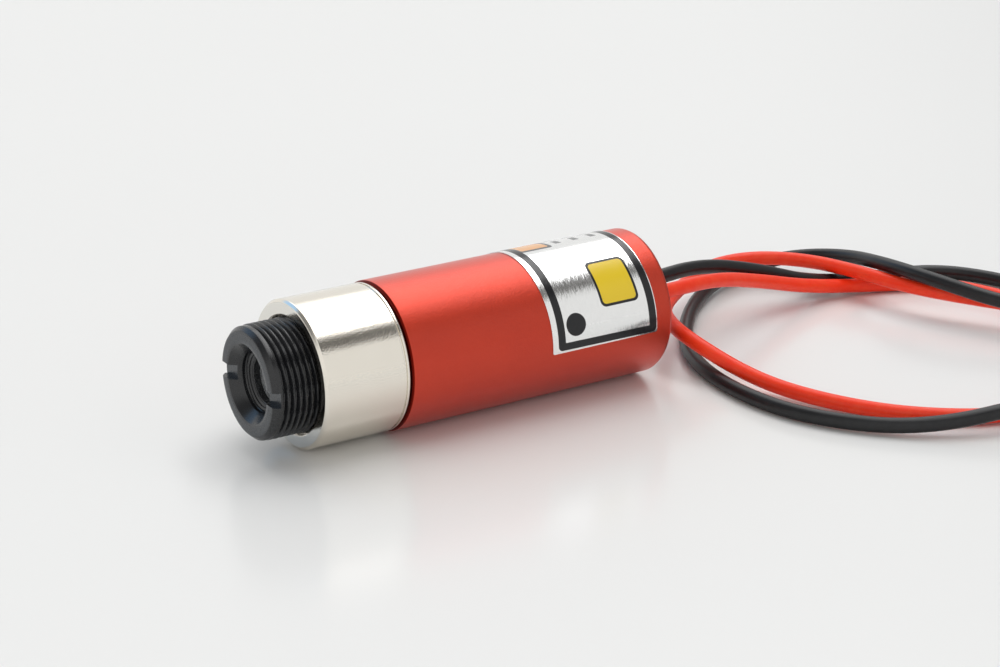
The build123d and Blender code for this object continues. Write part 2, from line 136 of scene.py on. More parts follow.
class Finish:
    """Material under way: its place signals in millimetres, and its Principled shader."""

    def __init__(self, name, **fixed):
        self.material = bpy.data.materials.new(name)
        self.material.use_nodes = True
        self.tree = self.material.node_tree
        self.shader = self.tree.nodes["Principled BSDF"]
        place = Signal(self.tree, None).node("ShaderNodeTexCoord", output=3)
        self.mm = place.node("ShaderNodeVectorMath", {"operation": "SCALE"}, {0: place, "Scale": 1000.0})
        self.x, self.y, self.z = (self.mm.coordinate(axis) for axis in range(3))
        self.set(**fixed)

    def set(self, **values):
        """Sets sockets of the shader; an underscore in a name stands for a space."""
        for name, value in values.items():
            plug(self.tree, self.shader.inputs[name.replace("_", " ")], value)
        return self

    def noise(self, scale, detail=2.0, stretch=(1.0, 1.0, 1.0), roughness=0.5):
        """Cloudy pattern from 0 to 1, with scale features per millimetre, stretched per axis."""
        spread = self.mm.node("ShaderNodeVectorMath", {"operation": "MULTIPLY"}, {0: self.mm, 1: stretch})
        look = {"Vector": spread, "Scale": scale, "Detail": detail, "Roughness": roughness}
        return spread.node("ShaderNodeTexNoise", None, look)

    def bump(self, height, depth_mm, strength=1.0):
        """Relief of the given depth in millimetres, from a height signal of 0 to 1."""
        relief = {"Height": height, "Distance": depth_mm / 1000.0, "Strength": strength}
        return self.set(Normal=height.node("ShaderNodeBump", None, relief))


def insulation(name, colour, faded, sheen):
    """PVC cover: slightly waxy, with faint drawing marks and a little dust."""
    cover = Finish(name, IOR=1.5, Specular_IOR_Level=sheen)
    dust = cover.noise(9.0, 4.0)
    waves = cover.noise(1.3, 2.0)
    tone = waves.step(0.35, 0.7) * 0.6 + dust.step(0.55, 0.8) * 0.4
    cover.set(Base_Color=tone.mix(colour, faded), Roughness=0.3 + 0.16 * dust)
    cover.bump(waves * 0.7 + dust * 0.3, 0.02, 0.5)
    return cover.material


def shown_object(name, data, material):
    """New object in the scene, at the origin, with one material."""
    shown = bpy.data.objects.new(name, data)
    bpy.context.scene.collection.objects.link(shown)
    data.materials.append(material)
    return shown


def own_object(name, data, material, body):
    """New object that rides on a body of the module and has a finish slot."""
    piece = shown_object(name, data, material)
    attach(piece, body)
    return piece


wire_d = 1.25
wire_steps = 10
wire_ring_steps = 7


def wire_curve(name, route, material):
    """Quadratic NURBS line that follows the route's control points, with a round section."""
    curve = bpy.data.curves.new(name, "CURVE")
    curve.dimensions = "3D"
    spline = curve.splines.new("NURBS")
    spline.points.add(len(route) - 1)
    points = np.ones((len(route), 4))
    points[:, :3] = np.array(route) / 1000.0
    spline.points.foreach_set("co", points.ravel())
    spline.order_u = 3
    spline.use_endpoint_u = True
    spline.resolution_u = wire_steps
    curve.resolution_u = wire_steps
    curve.render_resolution_u = wire_steps
    curve.bevel_depth = wire_d / 2000.0
    curve.bevel_resolution = wire_ring_steps
    curve.use_fill_caps = True
    return own_object(name, curve, material, "module")


# Control points of each wire's middle line, from inside the barrel to the bared end.
black_route = [
    (13.6, 1.5, 6.65), (20.6, 1.5, 6.65), (27.4, 3.3, 6.3), (34.8, 4.6, 4.07),
    (41.6, 5.6, 1.36), (48.2, 5.0, 0.68), (54.6, 3.8, 0.68), (58.3, -2.2, 0.68),
    (59.2, -10.0, 0.68), (55.8, -18.8, 0.68), (47.5, -26.2, 0.8), (37.2, -28.7, 2.4),
    (28.0, -25.1, 0.8), (22.2, -18.3, 0.68), (20.7, -10.3, 0.68), (22.3, -2.0, 0.68),
    (27.4, 5.2, 0.7), (33.2, 10.2, 0.9), (39.9, 13.3, 0.8), (44.8, 12.0, 1.5),
    (47.3, 7.3, 2.4), (46.2, 0.6, 3.63), (46.9, -5.3, 3.65), (49.4, -11.3, 2.86),
    (53.2, -17.4, 2.8), (58.2, -23.4, 2.4), (64.0, -27.8, 0.7), (68.6, -30.4, 0.68),
]
red_route = [
    (13.6, -1.5, 6.65), (20.6, -1.5, 6.65), (27.0, 0.5, 5.9), (33.8, 3.2, 3.66),
    (40.2, 4.1, 1.64), (46.6, 3.6, 0.7), (52.3, 1.0, 0.68), (55.2, -5.7, 0.68),
    (55.4, -13.3, 0.68), (50.9, -20.1, 0.68), (43.9, -24.9, 0.68), (36.1, -26.8, 0.68),
    (29.4, -22.3, 0.68), (25.5, -16.3, 0.7), (23.2, -9.9, 1.0), (20.8, -3.8, 3.19),
    (21.9, 0.6, 3.35), (24.8, 4.7, 2.7), (29.3, 8.3, 2.5), (34.2, 11.2, 2.6),
    (39.3, 11.4, 2.5), (43.0, 8.1, 2.52), (44.9, 3.1, 2.51), (46.4, -2.3, 2.3),
    (49.5, -7.9, 2.21), (53.2, -13.8, 2.2), (58.1, -19.2, 2.31), (64.3, -23.6, 0.7),
    (71.3, -27.0, 0.68), (78.0, -29.4, 0.68),
]
black_pvc = insulation("black pvc", (0.004, 0.004, 0.005), (0.01, 0.01, 0.012), 0.45)
red_pvc = insulation("red pvc", (0.98, 0.041, 0.009), (1.0, 0.068, 0.018), 0.35)


# Bared wire ends: seven tinned copper strands with a slow left-hand lay, 4.5 mm long.
# They come out of the insulation in line with its last run.
def grid_mesh(name, points, around=False, closed_path=False, caps=(False, False), uv=None):
    """Mesh of a grid of points [along, across]: quads between neighbours, with an n-gon over
    an end where asked. around joins the last column to the first. uv is [along, across, 2]."""
    rows, columns = points.shape[:2]
    index = np.arange(rows * columns).reshape(rows, columns)
    if around:
        index = np.concatenate([index, index[:, :1]], axis=1)
    if closed_path:
        index = np.concatenate([index, index[:1]], axis=0)
    quads = np.stack([index[:-1, :-1], index[:-1, 1:], index[1:, 1:], index[1:, :-1]], axis=-1)
    faces = quads.reshape(-1, 4).tolist()
    if caps[0]:
        faces.append(index[0, :columns][::-1].tolist())
    if caps[1]:
        faces.append(index[-1, :columns].tolist())
    mesh = bpy.data.meshes.new(name)
    mesh.from_pydata((points.reshape(-1, 3) / 1000.0).tolist(), [], faces)
    if uv is not None:
        layer = mesh.uv_layers.new(name="wrap")
        corners = np.empty(len(mesh.loops), dtype=np.int32)
        mesh.loops.foreach_get("vertex_index", corners)
        layer.data.foreach_set("uv", uv.reshape(-1, 2)[corners].ravel().astype(np.float32))
    return mesh


def tidy_mesh(mesh, sharp_degrees=35.0, weld=2e-7):
    """Merges points closer than weld, which is in metres, turns the faces outwards and keeps
    edges above an angle sharp."""
    shell = bmesh.new()
    shell.from_mesh(mesh)
    bmesh.ops.remove_doubles(shell, verts=shell.verts, dist=weld)
    bmesh.ops.dissolve_degenerate(shell, edges=shell.edges, dist=weld / 2)
    bmesh.ops.recalc_face_normals(shell, faces=shell.faces)
    shell.to_mesh(mesh)
    shell.free()
    mesh.polygons.foreach_set("use_smooth", np.ones(len(mesh.polygons), dtype=bool))
    mesh.set_sharp_from_angle(angle=math.radians(sharp_degrees))
    return mesh


def joined_mesh(name, meshes):
    """One mesh of several, which are used up."""
    whole = bmesh.new()
    for mesh in meshes:
        whole.from_mesh(mesh)
        bpy.data.meshes.remove(mesh)
    joined = bpy.data.meshes.new(name)
    whole.to_mesh(joined)
    whole.free()
    return joined


def full_turn(columns):
    """Even angles of one turn, without the last, which would repeat the first."""
    return np.linspace(0.0, 2.0 * math.pi, columns, endpoint=False)[None, :]


def tube_along(line, across_a, across_b, radius, columns):
    """Round tube: a point of the line plus radius times (cos, sin) in the plane of two
    unit vectors across it, which are given for each point of the line."""
    turn = full_turn(columns)[:, :, None]
    ring = np.cos(turn) * across_a[:, None, :] + np.sin(turn) * across_b[:, None, :]
    return line[:, None, :] + radius * ring


strand_length = 4.5
strand_hidden = 0.3
strand_stagger = 0.05
strand_bundle_d = 0.48
strand_lay = 5.0
strand_rows = 40
strand_columns = 12
wound_strands = 6


def strands(route):
    """Six strands that wind about a straight seventh: the centre of strand k at length s is
    the axis point plus 2 strand radii times (cos, sin) of 2 pi (k / 6 + s / lay). The bundle
    is three strands across, and the strands' ends are cut a little unevenly."""
    end = np.array(route[-1])
    along = end - np.array(route[-2])
    along /= np.linalg.norm(along)
    side = np.cross(along, (0.0, 0.0, 1.0))
    side /= np.linalg.norm(side)
    up = np.cross(side, along)
    radius = strand_bundle_d / 6
    steps = np.linspace(-strand_hidden, strand_length, strand_rows)
    across_a = np.repeat(side[None, :], len(steps), axis=0)
    across_b = np.repeat(up[None, :], len(steps), axis=0)
    meshes = []
    for strand in range(wound_strands + 1):
        phase = 2.0 * math.pi * (strand / wound_strands + steps / strand_lay)[:, None]
        reach = 2.0 * radius if strand < wound_strands else 0.0
        ends = steps - strand_stagger * (strand % 3) * (steps == strand_length)
        line = end + along * ends[:, None]
        line = line + reach * (np.cos(phase) * side + np.sin(phase) * up)
        tube = tube_along(line, across_a, across_b, radius * 0.98, strand_columns)
        meshes.append(grid_mesh("strand", tube, around=True, caps=(True, True)))
    return tidy_mesh(joined_mesh("strands", meshes), 50.0)


def tinned():
    """Dull silver tin with a slightly uneven dip."""
    tin = Finish("tin plate", Metallic=1.0)
    dips = tin.noise(7.0, 3.0)
    tin.set(Base_Color=dips.mix((0.56, 0.56, 0.55), (0.76, 0.76, 0.75)), Roughness=0.22 + 0.2 * dips)
    return tin.bump(dips, 0.01, 0.6).material


tin_plate = tinned()
wires = (("black", black_route, black_pvc, 0.2023, 0.0015, "limp"),
         ("red", red_route, red_pvc, 0.1922, -0.0015, "limp"))
for colour, route, cover, length, side, stiffness in wires:
    wire = wire_curve(f"{colour}_wire", route, cover)
    strand_mesh = strands(route)
    tip = own_object(f"{colour}_wire_strands", strand_mesh, tin_plate, "module")
    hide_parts(f"wire_{colour}")
    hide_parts(f"wire_tip_{colour}")

# Lens holder: a black anodised aluminium cell, turned with an M9 x 0.5 thread, a cone at its
# mouth and a spanner slot each side. It screws into the head and carries the lens.
axis_z = 6.0
around_count = 192


def ring_points(x, radius, angle):
    """Points at distance x along the axis and radius from it, at an angle from the +Y side."""
    y = radius * np.cos(angle)
    z = axis_z + radius * np.sin(angle)
    return np.stack(np.broadcast_arrays(x, y, z), axis=-1)


def rounded(outline, bevel, steps=3):
    """Outline of (x, radius) points with each marked corner replaced by a small arc: points
    of a quadratic curve from bevel before the corner to bevel after it, or 0.3 of the shorter
    side. One more point on each side keeps the shading of the flats beyond it straight."""
    points = []
    for place, (x, radius, soft) in enumerate(outline):
        here = np.array((x, radius))
        if not soft:
            points.append(here)
            continue
        before = np.array(outline[place - 1][:2]) - here
        after = np.array(outline[(place + 1) % len(outline)][:2]) - here
        reach = min(bevel, 0.3 * np.linalg.norm(before), 0.3 * np.linalg.norm(after))
        to_start = before / np.linalg.norm(before) * reach
        to_end = after / np.linalg.norm(after) * reach
        points.append(here + 1.5 * to_start)
        for share in np.linspace(0.0, 1.0, steps):
            points.append(here + (1 - share) ** 2 * to_start + share ** 2 * to_end)
        points.append(here + 1.5 * to_end)
    return np.array(points)


def turned(name, outline, columns=around_count, closed=True):
    """Surface of revolution: each (x, radius) of the outline at every angle round the axis."""
    points = ring_points(outline[:, :1], outline[:, 1:2], full_turn(columns))
    return grid_mesh(name, points, around=True, closed_path=closed)


holder_x = -17.75
holder_length = 8.0
holder_bevel = 0.33
shoulder_depth = 2.1
lens_bore_r = 3.23
land_length = 0.7
land_r = 4.44
thread_r = 4.5
thread_pitch = 0.5
thread_depth = 0.3
thread_phase = 0.12
thread_run_in = 0.12
thread_run_out = 0.15
rows_per_pitch = 14
slot_half = 0.59
slot_depth = 0.55
slot_columns = 9
side_columns = 88


def thread_wave(x, angle, flat=0.16):
    """Height 0 to 1 of a right-hand thread: a triangle wave of x / pitch - angle / 2 pi,
    cut off flat at its crest and root."""
    phase = np.mod(x / thread_pitch - angle / (2.0 * math.pi) + thread_phase, 1.0)
    triangle = 1.0 - np.abs(2.0 * phase - 1.0)
    return np.clip((triangle - flat) / (1.0 - 2.0 * flat), 0.0, 1.0)


# Rows of the holder's grid, as distance from the mouth and radius: forward inside from the
# lens's shoulder, out over the face and onto the land, then along the thread to the tail.
mouth_rows = [
    (shoulder_depth, lens_bore_r), (shoulder_depth, 1.86), (1.55, 1.86), (1.5, 1.93), (1.47, 1.93),
    (1.42, 2.0), (1.37, 2.12), (1.34, 2.12), (1.29, 2.14), (1.21, 2.3), (1.18, 2.3),
    (1.12, 2.33), (1.07, 2.38), (0.84, 2.38), (0.8, 2.4), (0.55, 2.634), (0.3, 2.868),
    (0.03, 3.122), (0.01, 3.142), (0.0, 3.165), (0.0, 3.5), (0.0, 3.85), (0.0, 4.09),
    (0.01, 4.125), (0.03, 4.15), (0.2, 4.3), (0.3, 4.4), (0.33, 4.43), (0.37, land_r),
    (slot_depth, land_r), (0.68, land_r),
]
thread_end = holder_length - holder_bevel
thread_x = np.arange(land_length, thread_end, thread_pitch / rows_per_pitch)
thread_rows = np.stack([thread_x, np.full(len(thread_x), thread_r)], axis=-1)
tail_rows = [(thread_end, 4.3), (holder_length, 4.17), (holder_length, lens_bore_r)]
rows_x, rows_r = np.concatenate([mouth_rows, thread_rows, tail_rows]).T[:, :, None]
threaded = np.zeros_like(rows_x)
threaded[len(mouth_rows):-len(tail_rows)] = 1.0


def holder_points():
    """Grid of the holder. Between the slots the angle runs evenly from asin(h / r) to its
    mirror; in a slot it runs from -asin(h / r) to asin(h / r), and x is pushed back to the
    slot's floor. The wall is the step between the two columns that share an angle. The thread
    is cut to its depth where fade is 1, and runs out to the land's radius where it is 0."""
    edge = np.arcsin(slot_half / rows_r)
    in_slot = np.linspace(-1.0, 1.0, slot_columns) * edge
    between = edge + np.linspace(0.0, 1.0, side_columns) * (math.pi - 2.0 * edge)
    angle = np.concatenate([in_slot, between, in_slot + math.pi, between + math.pi], axis=1)
    floor = np.concatenate([np.full(slot_columns, slot_depth), np.zeros(side_columns)] * 2)
    x = np.maximum(rows_x, floor) + holder_x
    fade = np.clip((rows_x - land_length) / thread_run_in, 0.0, 1.0)
    fade = fade * np.clip((thread_end - rows_x) / thread_run_out, 0.0, 1.0)
    cut = (1.0 - thread_wave(x, angle)) * thread_depth
    run_in = (1.0 - fade) * (thread_r - land_r)
    return ring_points(x, rows_r - threaded * (cut * fade + run_in), angle)


def anodised_black():
    """Black anodised aluminium: satin, with faint lathe rings on the face and in the cone,
    and paler worn spots on the thread's crests."""
    coat = Finish("black anodised", IOR=1.56)
    across = coat.z - axis_z
    squares = coat.y * coat.y + across * across
    radius = squares.math("SQRT", squares)
    wobble = radius * 42.0 + coat.noise(3.0) * 2.0
    rings = wobble.math("SINE", wobble)
    grain = coat.noise(14.0, 4.0)
    worn = grain.step(0.6, 0.75) * radius.step(land_r, thread_r - 0.01)
    tone = worn.mix((0.007, 0.0075, 0.009), (0.06, 0.06, 0.062))
    coat.set(Base_Color=tone, Roughness=0.22 + 0.1 * grain)
    return coat.bump(rings * 0.3 + grain * 0.7, 0.004, 0.5).material


black_coat = anodised_black()
holder_mesh = tidy_mesh(grid_mesh("holder", holder_points(), around=True, closed_path=True), 32.0)
holder = own_object("threaded_lens_holder", holder_mesh, black_coat, "lens_cell")
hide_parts("lens_holder")

# Collimating lens: a moulded lens with a flat rim, a shallow dome to the front and a steep
# one to the diode, with an anti-reflection coating. Its rim sits against the holder's shoulder.
lens_x = holder_x + shoulder_depth
lens_r = 3.2
lens_rim = 1.2
lens_bevel = 0.03
lens_back = lens_x + lens_rim
lens_columns = 96
front_dome_r = 1.75
front_sag = -0.3
rear_dome_r = 2.5
rear_sag = 0.95


def dome(base_x, edge_r, sag, count=24):
    """Spherical cap: x = base + sag - (R - sqrt(R^2 - r^2)) for r from 0 to the edge."""
    curve_r = (edge_r ** 2 + sag ** 2) / (2.0 * abs(sag))
    radius = np.linspace(0.0, edge_r, count)
    drop = curve_r - np.sqrt(curve_r ** 2 - radius ** 2)
    return np.stack([base_x + sag - math.copysign(1.0, sag) * drop, radius], axis=-1)


lens_outline = np.concatenate([
    dome(lens_x, front_dome_r, front_sag),
    [(lens_x, 1.9), (lens_x, lens_r - lens_bevel), (lens_x + lens_bevel, lens_r)],
    [(lens_back - lens_bevel, lens_r), (lens_back, lens_r - lens_bevel), (lens_back, 2.6)],
    dome(lens_back, rear_dome_r, rear_sag)[::-1],
])
lens_mesh = tidy_mesh(turned("lens", lens_outline, lens_columns, closed=False))
lens_glass = Finish("lens glass", IOR=1.62, Transmission_Weight=0.6)
bloom = lens_glass.noise(0.9, 2.0)
lens_glass.set(Base_Color=bloom.mix((0.62, 0.64, 0.66), (0.74, 0.76, 0.78)))
lens_glass.set(Roughness=0.04 + 0.05 * bloom)
lens_glass.bump(lens_glass.noise(6.0), 0.001, 0.2)
lens = own_object("moulded_lens", lens_mesh, lens_glass.material, "lens_cell")
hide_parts("collimating_lens")

# Focus spring: closed-end music wire between the holder and the diode's wall, which takes up
# the thread's play.
spring_x = -9.75
seat_x = -6.2
spring_d = 8.0
spring_wire_d = 0.36
closed_pitch = 0.38
closed_turns = 1.0
active_turns = 2.5
spring_steps = 300
spring_columns = 16


def spring_points():
    """Helix of constant radius whose rise per turn is small in the end turns and large
    between them, as a round tube across the radial and axial directions."""
    length = seat_x - spring_x - spring_wire_d
    open_pitch = (length - 2.0 * closed_pitch * closed_turns) / active_turns
    turn = np.linspace(0.0, 2.0 * closed_turns + active_turns, spring_steps)
    opened = np.clip(turn - closed_turns, 0.0, active_turns)
    x = spring_x + spring_wire_d / 2 + closed_pitch * (turn - opened) + open_pitch * opened
    angle = 2.0 * math.pi * turn
    line = ring_points(x, (spring_d - spring_wire_d) / 2, angle)
    radial = np.stack([np.zeros_like(turn), np.cos(angle), np.sin(angle)], axis=-1)
    axial = np.repeat(np.array([[1.0, 0.0, 0.0]]), len(turn), axis=0)
    return tube_along(line, radial, axial, spring_wire_d / 2, spring_columns)


spring_steel = Finish("spring steel", Metallic=1.0)
drawn = spring_steel.noise(20.0, 3.0, (0.1, 1.0, 1.0))
spring_steel.set(Base_Color=drawn.mix((0.5, 0.49, 0.46), (0.68, 0.67, 0.64)))
spring_steel.set(Roughness=0.18 + 0.15 * drawn)
spring_steel.bump(drawn, 0.004, 0.4)
spring_mesh = tidy_mesh(grid_mesh("spring", spring_points(), around=True, caps=(True, True)), 60.0)
spring = shown_object("closed_end_spring", spring_mesh, spring_steel.material)
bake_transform(spring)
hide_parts("focus_spring")

# Head: turned brass with a bright nickel plate, bored and threaded for the holder. The spigot
# at its rear is pressed into the barrel and holds the diode.
head_x = -14.15
barrel_x = -6.65
head_r = 5.9
front_bevel = 0.22
rear_bevel = 0.25
head_edge = 0.045
groove_front_x = barrel_x - 0.61
groove_rear_x = barrel_x - 0.45
groove_r = head_r - 0.1
spigot_r = 4.98
spigot_end_x = barrel_x + 4.6
clamp_r = 4.23
diode_pocket_x = -4.0
diode_pocket_r = 2.83
diode_seat_x = -5.2
cap_bore_r = 2.1
head_bore_r = 4.55
head_mouth_r = 4.75
head_outline = [
    (head_x, head_mouth_r, True), (head_x, head_r - front_bevel, True),
    (head_x + front_bevel, head_r, True), (groove_front_x, head_r, True),
    (groove_front_x, groove_r, False), (groove_rear_x, groove_r, False),
    (groove_rear_x, head_r, True), (barrel_x - rear_bevel, head_r, True),
    (barrel_x, head_r - rear_bevel, True), (barrel_x, spigot_r, False),
    (spigot_end_x, spigot_r, True), (spigot_end_x, clamp_r, True),
    (diode_pocket_x, clamp_r, False), (diode_pocket_x, diode_pocket_r, False),
    (diode_seat_x, diode_pocket_r, False), (diode_seat_x, cap_bore_r, False),
    (seat_x, cap_bore_r, False), (seat_x, head_bore_r, False),
]
female_depth = 0.26
female_start = head_x + 0.2
female_end = head_x + 1.5
female_run_in = 0.25
female_run_out = 0.2
female_rows = 42


def head_points():
    """Head outline turned round the axis, then the bore's first turns as an inner thread
    that stays a small play outside the holder's."""
    outer = rounded(head_outline, head_edge)
    turn = full_turn(around_count)
    body = ring_points(outer[:, :1], outer[:, 1:2], turn)
    bore_x = np.linspace(female_end, female_start, female_rows)[:, None]
    height = female_depth * (1.0 - thread_wave(bore_x, turn))
    height = height * np.clip((female_end - bore_x) / female_run_out, 0.0, 1.0)
    height = height * np.clip((bore_x - female_start) / female_run_in, 0.0, 1.0)
    return np.concatenate([body, ring_points(bore_x, head_bore_r - height, turn)], axis=0)


def nickel():
    """Bright nickel over turned brass: nearly a mirror, warm in tone, with a very fine
    orange peel that frets the edges of its reflections."""
    plate = Finish("nickel plate", Metallic=1.0)
    clouds = plate.noise(0.5, 2.0)
    specks = plate.noise(8.0, 3.0)
    warm_tone = clouds.mix((0.8, 0.755, 0.675), (0.83, 0.785, 0.705))
    plate.set(Base_Color=warm_tone, Roughness=0.075 + 0.05 * specks)
    return plate.bump(specks, 0.009, 1.0).material


nickel_plate = nickel()
head_mesh = tidy_mesh(grid_mesh("head", head_points(), around=True, closed_path=True), 30.0)
head = own_object("plated_head", head_mesh, nickel_plate, "module")
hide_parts("head")

# Barrel: drawn aluminium tube, red anodised with a satin sheen, bevelled where it meets the
# head and rounded at the rear. The head's spigot is pressed into its front end.
rear_x = 17.75
barrel_r = 6.0
barrel_bore_r = 5.0
barrel_bevel = 0.13
barrel_edge = 0.04
bore_bevel = 0.3
# Points of the rounded rear edge, as distances in from the rear and in from the outside.
rear_round = ((0.38, 0.0), (0.3, 0.0), (0.21, 0.026), (0.088, 0.088), (0.026, 0.21), (0.0, 0.3))
barrel_outline = [
    (barrel_x, barrel_bore_r, True), (barrel_x, barrel_r - barrel_bevel, True),
    (barrel_x + barrel_bevel, barrel_r, True),
    *((rear_x - back, barrel_r - down, False) for back, down in rear_round),
    (rear_x, barrel_bore_r + bore_bevel, True), (rear_x - bore_bevel, barrel_bore_r, True),
]


def red_anodising():
    """Dyed anodised aluminium: orange-red satin over a finely blasted tube, with painted shade on the
    front bevel where it meets the head, and a few pale specks where the dye is rubbed."""
    coat = Finish("red anodising", Metallic=1.0, Coat_Roughness=0.36, Coat_IOR=1.5)
    clouds = coat.noise(0.25, 2.0)
    grain = coat.noise(6.0, 4.0)
    tone = (clouds * 0.6 + grain * 0.4).mix((0.53, 0.028, 0.0055), (0.65, 0.042, 0.0085))
    specks = coat.noise(5.0, 4.0, roughness=0.7).step(0.73, 0.78)
    rubbed = (specks * 0.35).mix(tone, (0.85, 0.35, 0.3))
    # Painted shade: the front bevel, at the joint with the head, is painted nearly black red and loses its
    # coat.
    cut = 1.0 - (coat.x - barrel_x).step(0.09, 0.13)
    coat.set(Base_Color=(cut * 0.9).mix(rubbed, (0.1, 0.004, 0.003)), Roughness=0.4 + 0.1 * grain)
    coat.set(Coat_Weight=0.8 - 0.8 * cut)
    return coat.bump(grain, 0.034, 0.8).material


red_coat = red_anodising()
barrel_mesh = tidy_mesh(turned("barrel", rounded(barrel_outline, barrel_edge)), 30.0)
barrel = own_object("anodised_barrel", barrel_mesh, red_coat, "module")
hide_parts("barrel")

# Foil label: bright metallised film, glued round the rear half of the barrel. It is printed
# with a black frame, plain patches of colour, a dark disc and rows of grey dashes.
label_x = 6.1
label_length = 10.05
label_low = 186.0
label_span = 192.0
label_inner_r = 6.01
label_thickness = 0.06
label_width = math.radians(label_span) * (label_inner_r + label_thickness / 2)
label_corner = 0.12
label_skew = 0.035
label_grid = (200, 40)


def label_points(lift):
    """Sheet wrapped on a radius: the length s round the wrap is a share of the label's width,
    and the angle is the same share of its span. The corners are cut back by a quarter circle
    in (x, s). It was laid on a little askew, so x drops by skew times s."""
    share = np.linspace(0.0, 1.0, label_grid[0])[:, None]
    s = share * label_width
    into_corner = np.maximum(label_corner - np.minimum(s, label_width - s), 0.0)
    inset = label_corner - np.sqrt(label_corner ** 2 - into_corner ** 2)
    u = inset + np.linspace(0.0, 1.0, label_grid[1]) * (label_length - 2.0 * inset)
    angle = np.radians(label_low - share * label_span)
    uv = np.stack(np.broadcast_arrays(u, s), axis=-1)
    return ring_points(label_x + u - label_skew * s, label_inner_r + lift, angle), uv


label_top, label_uv = label_points(label_thickness)
label_under, _ = label_points(0.0)
label_loop = np.concatenate([label_top, label_under[:, ::-1]], axis=1)
label_loop_uv = np.concatenate([label_uv, label_uv[:, ::-1]], axis=1)


def label_print():
    """Printed foil. u runs along the barrel and s round it from the lower edge, both in
    millimetres, so each field is a distance to a rounded box, disc or line in (u, s)."""
    foil = Finish("label foil", Specular_IOR_Level=0.36)
    wrap = foil.mm.node("ShaderNodeUVMap", {"uv_map": "wrap"})
    u = wrap.coordinate(0)
    s = wrap.coordinate(1)

    def box(u0, u1, s0, s1, corner, height):
        """Distance outside a box with rounded corners in (u, height), less than 0 inside."""
        across = (abs(u - (u0 + u1) / 2) - ((u1 - u0) / 2 - corner)).most(0.0)
        along = (abs(height - (s0 + s1) / 2) - ((s1 - s0) / 2 - corner)).most(0.0)
        squares = across * across + along * along
        return squares.math("SQRT", squares) - corner

    def disc(u0, s0, radius):
        """Distance outside a disc, less than 0 inside."""
        squares = (u - u0) * (u - u0) + (s - s0) * (s - s0)
        return squares.math("SQRT", squares) - radius

    def within(distance, soft=0.02):
        """1 inside a field and 0 outside it, with a soft edge."""
        return 1.0 - distance.step(-soft, soft)

    lean = s + u * 0.012 - 0.19
    frame_out = box(0.52, 9.98, 0.0, label_width - 0.5, 0.4, lean)
    frame_in = box(1.2, 9.3, 0.62, label_width - 1.12, 0.08, lean)
    ink = within(frame_out) * (1.0 - within(frame_in))
    ink = ink.most(within(disc(2.32, 2.1, 0.92)))
    ink = ink.most(within(box(5.0, 8.65, 2.95, 6.95, 0.5, s)))
    yellow = within(box(5.22, 8.43, 3.17, 6.73, 0.34, s))
    ink = ink.most(within(box(1.0, 4.15, 9.85, 15.3, 0.3, s)) * 0.85)
    orange = within(box(1.3, 3.85, 10.15, 15.0, 0.15, s))
    wave = s * 4.2
    dashes = wave.math("SINE", wave).step(-0.45, -0.3)
    for row_start in (4.75, 6.45, 8.15):
        row = within(box(row_start, row_start + 0.55, 10.0, 16.4, 0.05, s))
        ink = ink.most(row * dashes * 0.8)
    crumple = foil.noise(0.8, 3.0)
    streaks = foil.noise(6.0, 3.0, (1.0, 0.35, 0.35))
    metal = streaks.mix((0.8, 0.8, 0.795), (0.88, 0.88, 0.875))
    colour = yellow.mix(ink.mix(metal, (0.012, 0.012, 0.014)), (0.84, 0.6, 0.03))
    colour = orange.mix(colour, (0.86, 0.45, 0.2))
    printed = ink.most(yellow).most(orange)
    foil.set(Base_Color=colour, Metallic=1.0 - printed)
    foil.set(Roughness=0.1 + 0.05 * streaks + 0.06 * printed)
    return foil.bump(crumple * 0.5 + streaks * 0.5, 0.014, 1.0).material


label_foil = label_print()
label_mesh = grid_mesh("label", label_loop, around=True, caps=(True, True), uv=label_loop_uv)
label = own_object("wrapped_foil", tidy_mesh(label_mesh, 40.0), label_foil, "module")
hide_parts("foil_label")

# Rear plug: a moulded black plug with a hole for each wire, glued in the rear of the barrel.
# Its CAD solid stays; clear glue lies in smears over its face.
black_plastic = Finish("black plastic", IOR=1.5, Coat_Roughness=0.08)
orange_peel = black_plastic.noise(8.0, 3.0)
smear = black_plastic.noise(0.7, 2.0).step(0.45, 0.55)
black_plastic.set(Base_Color=orange_peel.mix((0.014, 0.014, 0.015), (0.03, 0.03, 0.031)))
black_plastic.set(Roughness=0.42 + 0.2 * orange_peel, Coat_Weight=smear)
black_plastic.bump(orange_peel * 0.4 + smear * 0.6, 0.03, 0.6)


# Parts inside the head and barrel: the laser diode, its clamp ring, the driver board with its
# chips, the solder and the sleeve. Their CAD solids stay and get a finish each.
lathe_lines = (1.0, 0.05, 0.05)


def finish_nodes(material, *names):
    """Gives carried-over CAD nodes their material."""
    for name in names:
        slots = nodes[name].data.materials
        slots.clear()
        slots.append(material)


def plain_metal(name, dark, light, rough, scale=12.0, depth=0.004, stretch=(1.0, 1.0, 1.0)):
    """Metal with a slow change of tone and a fine relief."""
    metal = Finish(name, Metallic=1.0)
    grain = metal.noise(scale, 3.0, stretch)
    metal.set(Base_Color=grain.mix(dark, light), Roughness=rough + 0.15 * grain)
    return metal.bump(grain, depth, 0.4).material


def plain_body(name, dark, light, rough, scale=10.0, depth=0.01, **fixed):
    """Plastic, ceramic or glass with a fine speckle."""
    body = Finish(name, **fixed)
    grain = body.noise(scale, 4.0)
    body.set(Base_Color=grain.step(0.3, 0.7).mix(dark, light), Roughness=rough + 0.15 * grain)
    return body.bump(grain, depth, 0.4).material


